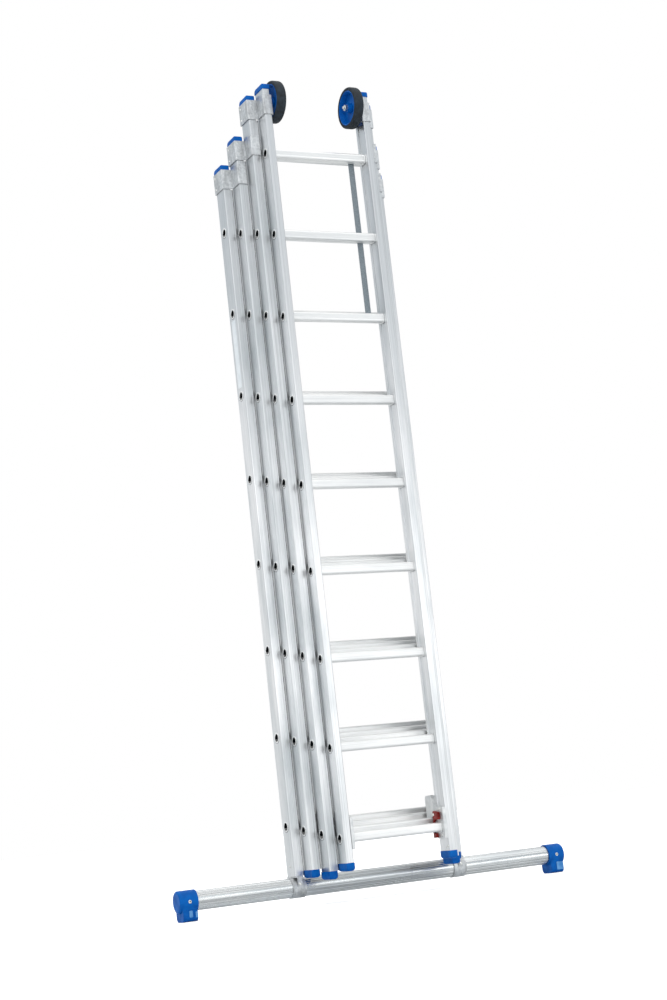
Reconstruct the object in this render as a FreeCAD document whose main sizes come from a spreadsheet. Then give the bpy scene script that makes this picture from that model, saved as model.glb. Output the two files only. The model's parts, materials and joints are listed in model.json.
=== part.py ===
import FreeCAD, Part
import os
import re

import Sketcher
from FreeCAD import Vector

# A four-section push-up extension ladder, nested, with its stabiliser bar and wall wheels.
# Millimetres. +X runs along the rungs to the right, +Y towards the wall, +Z up the rails.
# The origin is on the floor, under the middle of the stabiliser tube.

SIZES = {
    # how the four sections nest
    "base_width": 603,  # over the outer faces of the widest, rear section
    "side_step": 35.5,  # how far each front section is narrower, on each side
    "depth_step": 53,  # how far each front section stands forward
    "drop_step": 18,  # how much lower each front section's rungs sit
    "base_row_z": 250,  # height of the base section's first rung
    "rung_pitch": 280,
    "base_rung_count": 8,
    "upper_rung_count": 9,
    # rail ends, from the last and first rungs; the base rail stands on its clamp
    "base_rail_above": 211,
    "lower_rail_above": 32,
    "lower_rail_below": 122,
    "middle_rail_above": 175,
    "middle_rail_below": 114,
    "top_rail_above": 215,
    "top_rail_below": 76,
    # rail extrusion
    "rail_thick": 26,
    "rail_depth": 62,
    "rail_wall": 2.2,
    "rail_corner": 3.5,
    "recess_play": 0.7,  # beside the rung, on each side
    "recess_deep": 2.5,
    # rung tube
    "rung_size": 30,
    "rung_corner": 8,
    "rung_bore": 26,
    "neck_wide": 28.6,
    "bead_wide": 33,
    "bead_thick": 1,
    "groove_wide": 1.1,
    "groove_deep": 0.4,
    "groove_pitch": 2.4,
    # fits
    "fit": 0.05,  # radial, around shafts and rivets
    "seat": 0.2,  # between pieces that rest on each other
    # top caps and feet
    "cap_tall": 16,
    "cap_proud": 2,
    "cap_rear_round": 14,
    "cap_front_round": 6,
    "cap_plug_deep": 15,
    "foot_plug_deep": 22,
    "plug_play": 0.3,
    "foot_tall": 25,
    "foot_proud": 1.2,
    "foot_round": 9,
    # sheet guides at the rail tops
    "guide_tall": 67,
    "guide_sheet": 2.5,
    "guide_play": 1.4,
    "guide_rear_lip": 9,
    "guide_front_lip": 12,
    # rivets
    "rivet_head": 9,
    "rivet_dome": 2.2,
    "rivet_shank": 4.8,
    "rivet_spread": 20,
    "rivet_aside": 23,
    # hook plates, which hang each section on a rung of the one behind
    "hook_thick": 10,
    "hook_low": 36,
    "hook_high": 64,
    "top_arm_high": 102,
    "middle_arm_high": 80,
    "lower_arm_high": 66,
    "hook_nose": 8,
    "hook_nose_deep": 15,
    "hook_play": 1,
    "hook_round": 10,
    "hook_hole_play": 0.5,
    "hook_rivet_front": 12,
    "hook_rivet_inset": 8,
    # rung latches
    "latch_thick": 8,
    "latch_head": 13,
    "latch_reach": 10,
    "latch_back": 6,
    "latch_arm": 6.5,
    "latch_swing_room": 8.5,
    "latch_catch": 4,
    "catch_play": 0.5,
    "catch_drop": 6,
    "latch_tail": 18,
    "latch_step": 5,
    "latch_waist": 3,
    "pivot_y": 16,
    "pivot_up": 25,
    "pin_wide": 5,
    "pin_head": 9,
    "pin_head_thick": 1.5,
    # wall wheels
    "axle_down": 32,
    "wheel_wide": 140,
    "tyre_wide": 33,
    "tyre_thick": 11,
    "tyre_edge": 4,
    "hub_inset": 1.5,
    "hub_lip": 5,
    "hub_cone": 9,
    "web_in": 1,
    "web_lean": 1,
    "web_thick": 5,
    "boss_wall": 9,
    "boss_foot": 12,
    "wheel_gap": 9,
    "axle_wide": 10,
    "axle_head": 17,
    "axle_head_thick": 5,
    "axle_shoulder": 16,
    "axle_end": 5,
    "nut_across": 19,
    "nut_thick": 8,
    # stabiliser bar
    "bar_span": 1380,
    "tube_wide": 60,
    "tube_wall": 3.5,
    "tube_z": 60,
    "flute_wide": 3,
    "flute_deep": 0.8,
    "flute_count": 32,
    "clamp_wide": 46,
    "clamp_sheet": 2.5,
    "clamp_tongue": 15,
    "clamp_plug_up": 45,
    "clamp_bolt_up": 10,
    "clamp_bolt_wide": 6,
    "clamp_bolt_head": 11.4,
    "clamp_bolt_dome": 3.2,
    "end_sleeve_long": 60,
    "end_sleeve_wall": 4.3,
    "end_wall": 7,
    "end_round": 6.5,
    "end_rivet_in": 32,
    "end_block_long": 48,
    "end_block_inset": 8,
    "end_block_deep": 60,
    "end_block_round": 14,
    "end_window_deep": 1.5,
    "end_window_wide": 12,
    "end_window_apart": 17,
    "end_window_low": 45,
    "end_window_high": 24,
    # stay bar behind the upper rungs
    "stay_wide": 20,
    "stay_thick": 3,
    "stay_inset": 31,
}

# section name, its place in the stack from the rear, and its number of rungs
SECTIONS = (
    ("base", 0, "base_rung_count"),
    ("lower", 1, "upper_rung_count"),
    ("middle", 2, "upper_rung_count"),
    ("top", 3, "upper_rung_count"),
)
PLACES = {section: (step, rung_count) for section, step, rung_count in SECTIONS}
BASE_RAIL_LOW = "(tube_z + tube_wide/2 + 2*seat + 2*clamp_sheet)"
GUIDE_OFF = "(bead_thick + seat)"
HOOK_RIVET_HEIGHTS = ("hook_high - hook_rivet_inset", "hook_rivet_inset - hook_low")
RIGHT = Vector(1, 0, 0)

doc = FreeCAD.newDocument("extension_ladder")
sheet = doc.addObject("Spreadsheet::Sheet", "dims")
for line, (alias, number) in enumerate(SIZES.items(), start=1):
    sheet.set(f"A{line}", alias.replace("_", " "))
    sheet.set(f"B{line}", str(number))
    sheet.setAlias(f"B{line}", alias)
doc.recompute()
size = {alias: float(sheet.get(alias)) for alias in SIZES}
parts = []


def bind(item, prop, formula):
    """Set a property's expression; words that name a size read it from the sheet."""
    named = re.sub(r"[a-z][a-z_]*", lambda m: f"dims.{m[0]}" if m[0] in SIZES else m[0], str(formula))
    item.setExpression(prop, named)


def keep(item, label=None):
    item.Label = label or item.Name
    parts.append(item)
    return item


def new_body(name):
    return doc.addObject("PartDesign::Body", name)


def origin_feature(body, role):
    return next(item for item in body.Origin.OriginFeatures if item.Role == role)


def sketch_on(body, plane, name, offset="0"):
    sketch = body.newObject("Sketcher::SketchObject", f"{body.Name}_{name}")
    sketch.AttachmentSupport = [(origin_feature(body, plane), "")]
    sketch.MapMode = "FlatFace"
    bind(sketch, "AttachmentOffset.Base.z", offset)
    return sketch


def hold_point(sketch, edge, end, across, up):
    for kind, formula in (("DistanceX", across), ("DistanceY", up)):
        number = sketch.addConstraint(Sketcher.Constraint(kind, -1, 1, edge, end, 1.0))
        bind(sketch, f"Constraints[{number}]", formula)


def outline(sketch, corners):
    """A closed outline of straight lines whose corners are pairs of formulas."""
    first, count = sketch.GeometryCount, len(corners)
    rough = Part.Circle(Vector(), Vector(0, 0, 1), 10)
    spots = [rough.value(6.2 * n / count) for n in range(count)]
    for n in range(count):
        sketch.addGeometry(Part.LineSegment(spots[n], spots[(n + 1) % count]))
    for n in range(count):
        following = first + (n + 1) % count
        sketch.addConstraint(Sketcher.Constraint("Coincident", first + n, 2, following, 1))
    for n, (across, up) in enumerate(corners):
        hold_point(sketch, first + n, 1, across, up)


def rectangle(sketch, left, right, low, high):
    outline(sketch, [(left, low), (right, low), (right, high), (left, high)])


def circle(sketch, across, up, diameter):
    edge = sketch.addGeometry(Part.Circle(Vector(), Vector(0, 0, 1), 5))
    number = sketch.addConstraint(Sketcher.Constraint("Diameter", edge, 10.0))
    bind(sketch, f"Constraints[{number}]", diameter)
    hold_point(sketch, edge, 3, across, up)


def solid_feature(body, kind, sketch, length, symmetric=False, backwards=False):
    feature = body.newObject(f"PartDesign::{kind}", f"{sketch.Name}_{kind.lower()}")
    feature.Profile = sketch
    if length:
        bind(feature, "Length", length)
    else:
        feature.Type = "ThroughAll"
    if symmetric:
        feature.SideType = "Symmetric"
    feature.Reversed = backwards
    sketch.Visibility = False
    return feature


def pad(body, sketch, length, **ways):
    return solid_feature(body, "Pad", sketch, length, **ways)


def pocket(body, sketch, length=None, **ways):
    """A cut; it fails loudly when it takes nothing away."""
    doc.recompute()
    before = body.Tip.Shape.Volume
    feature = solid_feature(body, "Pocket", sketch, length, **ways)
    doc.recompute()
    if feature.Shape.Volume > before - 0.01:
        raise RuntimeError(f"{feature.Name} cuts nothing")
    return feature


def fillet(body, radius, wanted):
    """Round the edges of the body that wanted() picks out."""
    doc.recompute()
    base = body.Tip
    names = [f"Edge{n}" for n, edge in enumerate(base.Shape.Edges, start=1) if wanted(edge)]
    if not names:
        raise RuntimeError(f"{body.Name} has no edge to round")
    feature = body.newObject("PartDesign::Fillet", f"{body.Name}_fillet")
    feature.Base = (base, names)
    bind(feature, "Radius", radius)
    return feature


def runs_along(edge, axis):
    return abs(edge.tangentAt(edge.FirstParameter).dot(axis)) > 0.999 and len(edge.Vertexes) == 2


def near(value, target):
    return abs(value - target) < 0.01


def place(item, across="0", depth="0", height="0"):
    for axis, formula in (("x", across), ("y", depth), ("z", height)):
        bind(item, f"Placement.Base.{axis}", formula)


def keep_pair(body):
    """Keep a right-hand piece and its mirror image."""
    keep(body)
    twin = doc.addObject("Part::Mirroring", body.Name.replace("_right", "_left"))
    twin.Source = body
    twin.Normal = RIGHT
    keep(twin)


def keep_copies(name, placed):
    """Keep a group of separate solids, each a (source, (x, y, z), is_mirrored) copy."""
    doc.recompute()
    copies = []
    for source, spot, is_mirrored in placed:
        copy = source.Shape.copy()
        if is_mirrored:
            copy = copy.mirror(Vector(), RIGHT)
        copy.translate(Vector(*spot))
        copies.append(copy)
    group = doc.addObject("Part::Feature", name)
    group.Shape = Part.makeCompound(copies)
    keep(group)


def both_sides(source, across, depth, height):
    return [(source, (across, depth, height), False), (source, (-across, depth, height), True)]


def outer_face(step):
    return f"(base_width/2 - {step}*side_step)"


def first_row(step):
    return f"(base_row_z - {step}*drop_step)"


def rail_low(section):
    return BASE_RAIL_LOW if section == "base" else \
        f"({first_row(PLACES[section][0])} - {section}_rail_below)"


def rail_high(section):
    step, rung_count = PLACES[section]
    return f"({first_row(step)} + ({rung_count} - 1)*rung_pitch + {section}_rail_above)"


def place_on_rail(item, step, height):
    place(item, outer_face(step), f"-{step}*depth_step", height)


def hollow_limits(play="0"):
    """The inside of a rail, as left, right, front and rear from its outer face."""
    return (
        f"-rail_thick + recess_deep + rail_wall + {play}",
        f"-rail_wall - {play}",
        f"-rail_depth/2 + rail_wall + {play}",
        f"rail_depth/2 - rail_wall - {play}",
    )


# rails: box extrusions with a shallow channel down the inner face


def rail(section, step, rung_count):
    body = new_body(f"{section}_rail_right")
    profile = sketch_on(body, "XY_Plane", "profile")
    outline(profile, [
        ("0", "-rail_depth/2"),
        ("0", "rail_depth/2"),
        ("-rail_thick", "rail_depth/2"),
        ("-rail_thick", "rung_size/2 + recess_play"),
        ("-rail_thick + recess_deep", "rung_size/2 + recess_play"),
        ("-rail_thick + recess_deep", "-rung_size/2 - recess_play"),
        ("-rail_thick", "-rung_size/2 - recess_play"),
        ("-rail_thick", "-rail_depth/2"),
    ])
    rectangle(profile, *hollow_limits())
    low, high = rail_low(section), rail_high(section)
    pad(body, profile, f"{high} - {low}")
    half = size["rail_depth"] / 2
    fillet(body, "rail_corner", lambda e: runs_along(e, Vector(0, 0, 1)) and near(
        abs(e.Vertexes[0].Point.y), half))
    rungs = sketch_on(body, "YZ_Plane", "rung_holes")
    circle(rungs, "0", f"{first_row(step)} - {low}", "neck_wide + 2*fit")
    first_hole = pocket(body, rungs, symmetric=True)
    row = body.newObject("PartDesign::LinearPattern", f"{body.Name}_rung_row")
    row.Originals = [first_hole]
    row.Direction = (origin_feature(body, "Z_Axis"), [""])
    bind(row, "Length", f"({rung_count} - 1)*rung_pitch")
    bind(row, "Occurrences", rung_count)
    body.Tip = row
    if section == "base":
        bolt = sketch_on(body, "YZ_Plane", "clamp_rivet")
        circle(bolt, "0", "clamp_plug_up*2/3", "rivet_shank + 2*fit")
        pocket(body, bolt, "2*rail_wall")
    if section != "top":
        guide_rivets = sketch_on(body, "YZ_Plane", "guide_rivets")
        for sign in ("-", "+"):
            circle(guide_rivets, "rivet_aside",
                   f"{high} - {low} - guide_tall/2 {sign} rivet_spread",
                   "rivet_shank + 2*fit")
        pocket(body, guide_rivets, "2*rail_wall")
    if section != "base":
        inner = sketch_on(body, "YZ_Plane", "inner_rivets", "-rail_thick")
        circle(inner, "-rivet_aside", "foot_plug_deep*2/3", "rivet_shank + 2*fit")
        for height in HOOK_RIVET_HEIGHTS:
            circle(inner, "-hook_rivet_front", f"{first_row(step)} - {low} + {height}",
                   "rivet_shank + 2*fit")
        pocket(body, inner, "recess_deep + rail_wall + seat", backwards=True)
    if section == "top":
        axle = sketch_on(body, "YZ_Plane", "axle_hole", "-rail_thick")
        circle(axle, "0", f"{high} - {low} - axle_down", "axle_wide + 2*fit")
        pocket(body, axle, "recess_deep + rail_wall + seat", backwards=True)
    place_on_rail(body, step, low)
    keep_pair(body)


# rungs: fluted square tubes, drawn down to round necks that are swaged into both rails


def rung(section, step):
    body = new_body(f"{section}_rung")
    width = f"(base_width - 2*{step}*side_step)"
    square = sketch_on(body, "YZ_Plane", "square")
    rectangle(square, "-rung_size/2", "rung_size/2", "-rung_size/2", "rung_size/2")
    pad(body, square, f"{width} - 2*(rail_thick - recess_deep + seat)", symmetric=True)
    fillet(body, "rung_corner", lambda e: runs_along(e, RIGHT))
    ribs = sketch_on(body, "YZ_Plane", "ribs")
    for n in (-2, -1, 0, 1, 2):
        rectangle(ribs, f"{n}*groove_pitch - groove_wide/2", f"{n}*groove_pitch + groove_wide/2",
                  "rung_size/2 - groove_deep", "rung_size/2 + groove_deep")
    grooves = pocket(body, ribs, symmetric=True)
    around = body.newObject("PartDesign::PolarPattern", f"{section}_rung_ribs_around")
    around.Originals = [grooves]
    around.Axis = (origin_feature(body, "X_Axis"), [""])
    around.Angle = 360
    around.Occurrences = 4
    body.Tip = around
    neck = sketch_on(body, "YZ_Plane", "neck")
    circle(neck, "0", "0", "neck_wide")
    pad(body, neck, f"{width} + 2*seat", symmetric=True)
    bead = sketch_on(body, "YZ_Plane", "bead", f"{width}/2 + fit")
    circle(bead, "0", "0", "bead_wide")
    right_bead = pad(body, bead, "bead_thick")
    beads = body.newObject("PartDesign::Mirrored", f"{section}_rung_beads")
    beads.Originals = [right_bead]
    beads.MirrorPlane = (origin_feature(body, "YZ_Plane"), [""])
    body.Tip = beads
    bore = sketch_on(body, "YZ_Plane", "bore")
    circle(bore, "0", "0", "rung_bore")
    pocket(body, bore, symmetric=True)
    end = (size["base_width"] / 2 - step * size["side_step"]) + size["fit"] + size["bead_thick"]
    fillet(body, "bead_thick*0.8", lambda e: near(abs(e.BoundBox.XMin), end) and near(
        abs(e.BoundBox.XMax), end) and near(e.BoundBox.YLength, size["bead_wide"]))
    return body


def rungs(section, step, rung_count):
    source = rung(section, step)
    depth = -step * size["depth_step"]
    low = size["base_row_z"] - step * size["drop_step"]
    rows = range(int(size[rung_count]))
    keep_copies(f"{section}_rungs",
                [(source, (0, depth, low + n * size["rung_pitch"]), False) for n in rows])


# top caps and feet, moulded, each with a plug that goes into the rail


def add_plug(body, deep, downwards):
    plug = sketch_on(body, "XY_Plane", "plug")
    rectangle(plug, *hollow_limits("plug_play"))
    pad(body, plug, deep, backwards=downwards)


def top_cap():
    body = new_body("top_cap")
    block = sketch_on(body, "XY_Plane", "block", "seat")
    rectangle(block, "-rail_thick - cap_proud", "cap_proud",
              "-rail_depth/2 - cap_proud", "rail_depth/2 + cap_proud")
    pad(body, block, "cap_tall")
    half, high = size["rail_depth"] / 2 + size["cap_proud"], size["cap_tall"] + size["seat"]
    for side, radius in ((1, "cap_rear_round"), (-1, "cap_front_round")):
        fillet(body, radius, lambda e: runs_along(e, RIGHT) and near(
            e.Vertexes[0].Point.y, side * half) and near(e.Vertexes[0].Point.z, high))
    for face in (size["cap_proud"], -size["rail_thick"] - size["cap_proud"]):
        fillet(body, "cap_front_round/3", lambda e: near(e.BoundBox.XMin, face) and near(
            e.BoundBox.XMax, face) and e.BoundBox.ZMax > high - 0.01 and e.BoundBox.YLength > 20)
    add_plug(body, "cap_plug_deep", True)
    return body


def rail_foot():
    body = new_body("rail_foot")
    block = sketch_on(body, "XY_Plane", "block", "-seat")
    rectangle(block, "-rail_thick - foot_proud", "foot_proud",
              "-rail_depth/2 - foot_proud", "rail_depth/2 + foot_proud")
    pad(body, block, "foot_tall", backwards=True)
    low = -size["foot_tall"] - size["seat"]
    fillet(body, "foot_proud*2", lambda e: runs_along(e, Vector(0, 0, 1)))
    fillet(body, "foot_round", lambda e: runs_along(e, RIGHT) and near(e.Vertexes[0].Point.z, low))
    add_plug(body, "foot_plug_deep", False)
    return body


# guides: bent sheet that is riveted round one rail and slides round the rail in front


def guide(section, step):
    body = new_body(f"{section}_guide_right")
    inner, outer = GUIDE_OFF, f"({GUIDE_OFF} + guide_sheet)"
    leg_in, leg_out = "(guide_play - side_step)", "(guide_play + guide_sheet - side_step)"
    far_in, far_out = "(-side_step - rail_thick - guide_play)", \
        "(-side_step - rail_thick - guide_play - guide_sheet)"
    nose_in = "(-depth_step - rail_depth/2 - guide_play)"
    nose_out = "(-depth_step - rail_depth/2 - guide_play - guide_sheet)"
    lip = "(-depth_step - rail_depth/2 + guide_front_lip)"
    path = sketch_on(body, "XY_Plane", "path")
    outline(path, [
        ("-guide_rear_lip", f"rail_depth/2 + {outer}"),
        (outer, f"rail_depth/2 + {outer}"),
        (outer, f"-rail_depth/2 - {outer}"),
        (leg_out, f"-rail_depth/2 - {outer}"),
        (leg_out, nose_out),
        (far_out, nose_out),
        (far_out, lip),
        (far_in, lip),
        (far_in, nose_in),
        (leg_in, nose_in),
        (leg_in, f"-rail_depth/2 - {inner}"),
        (inner, f"-rail_depth/2 - {inner}"),
        (inner, f"rail_depth/2 + {inner}"),
        ("-guide_rear_lip", f"rail_depth/2 + {inner}"),
    ])
    pad(body, path, "guide_tall", backwards=True)
    edge = size["bead_thick"] + size["seat"] + size["guide_sheet"]
    bends_x = (edge, size["guide_play"] + size["guide_sheet"] - size["side_step"])
    far = -size["side_step"] - size["rail_thick"] - size["guide_play"] - size["guide_sheet"]
    nose = -size["depth_step"] - size["rail_depth"] / 2 - size["guide_play"] - size["guide_sheet"]
    outside = {(bends_x[0], size["rail_depth"] / 2 + edge), (bends_x[0], -size["rail_depth"] / 2 - edge),
               (bends_x[1], nose), (far, nose)}
    fillet(body, "guide_sheet", lambda e: runs_along(e, Vector(0, 0, 1)) and any(
        near(e.Vertexes[0].Point.x, x) and near(e.Vertexes[0].Point.y, y) for x, y in outside))
    holes = sketch_on(body, "YZ_Plane", "rivet_holes")
    for sign in ("-", "+"):
        circle(holes, "rivet_aside", f"-guide_tall/2 {sign} rivet_spread", "rivet_shank + 2*fit")
    pocket(body, holes, f"{outer} + seat", backwards=True)
    place_on_rail(body, step, rail_high(section))
    keep_pair(body)


# rivets: a domed head on a plain shank that points along -X


def rivet(name, shank):
    body = new_body(name)
    side = sketch_on(body, "XY_Plane", "side")
    outline(side, [
        (f"-({shank})", "0"),
        (f"-({shank})", "rivet_shank/2"),
        ("0", "rivet_shank/2"),
        ("0", "rivet_head/2"),
        ("rivet_dome/2", "rivet_head/2 - rivet_dome/4"),
        ("rivet_dome", "rivet_head/4"),
        ("rivet_dome", "0"),
    ])
    turned(body, side)
    return body


def turned(body, sketch):
    """Turn a profile, drawn above the X axis, into a solid."""
    feature = body.newObject("PartDesign::Revolution", f"{sketch.Name}_turned")
    feature.Profile = sketch
    feature.ReferenceAxis = (sketch, ["H_Axis"])
    feature.Angle = 360
    sketch.Visibility = False
    return feature


# hook plates


def hook_plate(section, step):
    body = new_body(f"{section}_hook_plate_right")
    front = "-rail_depth/2" if section == "top" else "(rail_depth/2 - depth_step + 1.5*hook_play)"
    rear_top = "(drop_step + rung_size/2)"
    rear_face = "(depth_step + rung_size/2 + hook_play)"
    web_rear = "(depth_step - rung_size/2 - 3*hook_play)"
    side = sketch_on(body, "YZ_Plane", "side")
    outline(side, [
        (front, "-hook_low"),
        (front, "hook_high"),
        ("rail_depth/4", "hook_high"),
        ("rail_depth/2 + hook_nose", f"{section}_arm_high"),
        (f"{rear_face} + hook_nose", f"{section}_arm_high"),
        (f"{rear_face} + hook_nose", f"{rear_top} - hook_nose_deep"),
        (rear_face, f"{rear_top} - hook_nose_deep"),
        (rear_face, f"{rear_top} + seat"),
        (web_rear, f"{rear_top} + seat"),
        (web_rear, "latch_head - rung_size/2"),
        ("rung_size/2 + hook_play", "-hook_low"),
    ])
    pad(body, side, "hook_thick", backwards=True)
    tops = (size["hook_high"], size[f"{section}_arm_high"])
    rear = size["depth_step"] + size["rung_size"] / 2 + size["hook_play"] + size["hook_nose"]
    fillet(body, "hook_round", lambda e: runs_along(e, RIGHT) and (
        near(e.Vertexes[0].Point.z, tops[0]) and e.Vertexes[0].Point.y < 0
        or near(e.Vertexes[0].Point.z, tops[1]) and near(e.Vertexes[0].Point.y, rear)))
    window = sketch_on(body, "YZ_Plane", "rung_window")
    half = "(rung_size/2 + hook_hole_play)"
    rectangle(window, f"-{half}", half, f"-{half}", half)
    pocket(body, window)
    open_half = size["rung_size"] / 2 + size["hook_hole_play"]
    fillet(body, "rung_corner", lambda e: runs_along(e, RIGHT) and near(
        abs(e.Vertexes[0].Point.y), open_half) and near(abs(e.Vertexes[0].Point.z), open_half))
    holes = sketch_on(body, "YZ_Plane", "fixings")
    circle(holes, "pivot_y", "rung_size/2 + pivot_up", "pin_wide + 2*fit")
    for height in HOOK_RIVET_HEIGHTS:
        circle(holes, "-hook_rivet_front", height, "rivet_shank + 2*fit")
    pocket(body, holes)
    place(body, f"{outer_face(step)} - rail_thick", f"-{step}*depth_step", first_row(step))
    keep_pair(body)


# rung latches: fingers that hang behind the rung and catch under the rung of the section behind


def latch(section, step):
    body = new_body(f"{section}_latch_right")
    head_low = "(rung_size/2 + pivot_up - latch_head)"
    head_high = "(rung_size/2 + pivot_up + latch_head)"
    behind = "(rung_size/2 + latch_swing_room)"
    side = sketch_on(body, "YZ_Plane", "side")
    outline(side, [
        ("-latch_reach", f"{head_low} - latch_head/4"),
        ("-latch_reach", f"{head_high} - latch_head/2"),
        ("pivot_y + latch_back", head_high),
        ("pivot_y + latch_back", head_low),
        (f"{behind} + latch_arm", "0"),
        ("depth_step - rung_size/2 + latch_catch", "drop_step - rung_size/2 - catch_play"),
        ("depth_step - rung_size/2 + latch_catch", "-rung_size/2 + catch_drop"),
        (f"{behind} + latch_arm", "-rung_size/2 - catch_drop/3"),
        (f"{behind} + latch_arm", "-rung_size/2 - latch_tail"),
        ("latch_head", "-rung_size/2 - latch_tail"),
        ("latch_head", "-rung_size/2 - latch_step"),
        (f"{behind} + latch_waist/3", "-rung_size/2 - latch_waist"),
        (behind, "0"),
        (f"{behind} - latch_waist", "rung_size/2 + latch_waist"),
        (f"{behind} - 3*latch_waist", f"{head_low} - latch_head/4"),
    ])
    pad(body, side, "latch_thick", backwards=True)
    high = size["rung_size"] / 2 + size["pivot_up"] + size["latch_head"] / 2
    fillet(body, "latch_head/2", lambda e: runs_along(e, RIGHT) and
           e.Vertexes[0].Point.z > high - 0.01)
    hole = sketch_on(body, "YZ_Plane", "pivot_hole")
    circle(hole, "pivot_y", "rung_size/2 + pivot_up", "pin_wide + 2*fit")
    pocket(body, hole)
    place(body, f"{outer_face(step)} - rail_thick - hook_thick - 2*seat",
          f"-{step}*depth_step", first_row(step))
    keep_pair(body)


def latch_pin():
    """A headed pin along X: its head is on the ladder's inner side, past the latch."""
    body = new_body("latch_pin")
    shank = "(hook_thick + 3*seat + latch_thick)"
    side = sketch_on(body, "XY_Plane", "side")
    outline(side, [
        ("0", "0"),
        ("0", "pin_wide/2"),
        (f"-{shank}", "pin_wide/2"),
        (f"-{shank}", "pin_head/2"),
        (f"-{shank} - pin_head_thick", "pin_head/2 - pin_head_thick/3"),
        (f"-{shank} - pin_head_thick", "0"),
    ])
    turned(body, side)
    return body


# wall wheels: rubber tyre on a dished hub, turning on a shouldered bolt


def hub():
    body = new_body("hub_right")
    rim = "(wheel_wide/2 - tyre_thick)"
    half = "(tyre_wide/2 - hub_inset)"
    side = sketch_on(body, "XY_Plane", "side")
    outline(side, [
        (f"-{half}", rim),
        (half, rim),
        (half, f"{rim} - hub_lip"),
        ("web_in + web_lean + web_thick", f"{rim} - hub_cone"),
        ("web_in + web_thick", "axle_wide/2 + boss_foot"),
        (half, "axle_wide/2 + boss_wall"),
        (half, "axle_wide/2 + fit"),
        (f"-{half}", "axle_wide/2 + fit"),
        (f"-{half}", "axle_wide/2 + boss_wall"),
        ("web_in", "axle_wide/2 + boss_foot"),
        ("web_in + web_lean", f"{rim} - hub_cone"),
        (f"-{half}", f"{rim} - hub_lip"),
    ])
    turned(body, side)
    place_wheel(body)
    keep_pair(body)


def tyre():
    body = new_body("tyre_right")
    side = sketch_on(body, "XY_Plane", "side")
    seat_r = "(wheel_wide/2 - tyre_thick + seat)"
    outline(side, [
        ("-tyre_wide/2", seat_r),
        ("tyre_wide/2", seat_r),
        ("tyre_wide/2", "wheel_wide/2 - tyre_edge"),
        ("tyre_wide/2 - tyre_edge", "wheel_wide/2"),
        ("tyre_edge - tyre_wide/2", "wheel_wide/2"),
        ("-tyre_wide/2", "wheel_wide/2 - tyre_edge"),
    ])
    turned(body, side)
    place_wheel(body)
    keep_pair(body)


def place_wheel(body):
    place(body, f"{outer_face(3)} - rail_thick - wheel_gap - tyre_wide/2", "-3*depth_step",
          f"{rail_high('top')} - axle_down")


def axle_bolt():
    """A shouldered bolt from inside the rail; x = 0 is the floor of the rail's channel."""
    body = new_body("axle_bolt")
    shoulder = "(recess_deep + wheel_gap + hub_inset - seat)"
    tip = "(recess_deep + wheel_gap + tyre_wide - hub_inset + seat + nut_thick + axle_end)"
    side = sketch_on(body, "XY_Plane", "side")
    outline(side, [
        ("rail_wall + seat + axle_head_thick", "0"),
        ("rail_wall + seat + axle_head_thick", "axle_head/2"),
        ("rail_wall + seat", "axle_head/2"),
        ("rail_wall + seat", "axle_wide/2"),
        ("-seat", "axle_wide/2"),
        ("-seat", "axle_shoulder/2"),
        (f"-{shoulder}", "axle_shoulder/2"),
        (f"-{shoulder}", "axle_wide/2"),
        (f"-{tip}", "axle_wide/2"),
        (f"-{tip} - axle_end/2", "axle_wide/2 - axle_end/2"),
        (f"-{tip} - axle_end/2", "0"),
    ])
    turned(body, side)
    return body


def axle_nut():
    blank = doc.addObject("Part::Prism", "nut_blank")
    blank.Polygon = 6
    bind(blank, "Circumradius", "nut_across/2/cos(30)")
    bind(blank, "Height", "nut_thick")
    thread = doc.addObject("Part::Cylinder", "nut_thread")
    bind(thread, "Radius", "axle_wide/2 + fit")
    bind(thread, "Height", "nut_thick")
    nut = doc.addObject("Part::Cut", "axle_nut")
    nut.Base, nut.Tool = blank, thread
    nut.Placement.Rotation = FreeCAD.Rotation(Vector(0, 0, 1), Vector(-1, 0, 0))
    return nut


# stabiliser bar


def stabiliser_tube():
    body = new_body("stabiliser_tube")
    ring = sketch_on(body, "YZ_Plane", "ring")
    circle(ring, "0", "0", "tube_wide")
    circle(ring, "0", "0", "tube_wide - 2*tube_wall")
    pad(body, ring, "bar_span - 2*end_wall - 2*seat", symmetric=True)
    flute = sketch_on(body, "YZ_Plane", "flute")
    circle(flute, "0", "tube_wide/2 + flute_wide/2 - flute_deep", "flute_wide")
    cut = pocket(body, flute, symmetric=True)
    around = body.newObject("PartDesign::PolarPattern", "stabiliser_flutes")
    around.Originals = [cut]
    around.Axis = (origin_feature(body, "X_Axis"), [""])
    around.Angle = 360
    bind(around, "Occurrences", "flute_count")
    body.Tip = around
    place(body, height="tube_z")
    keep(body)


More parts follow.
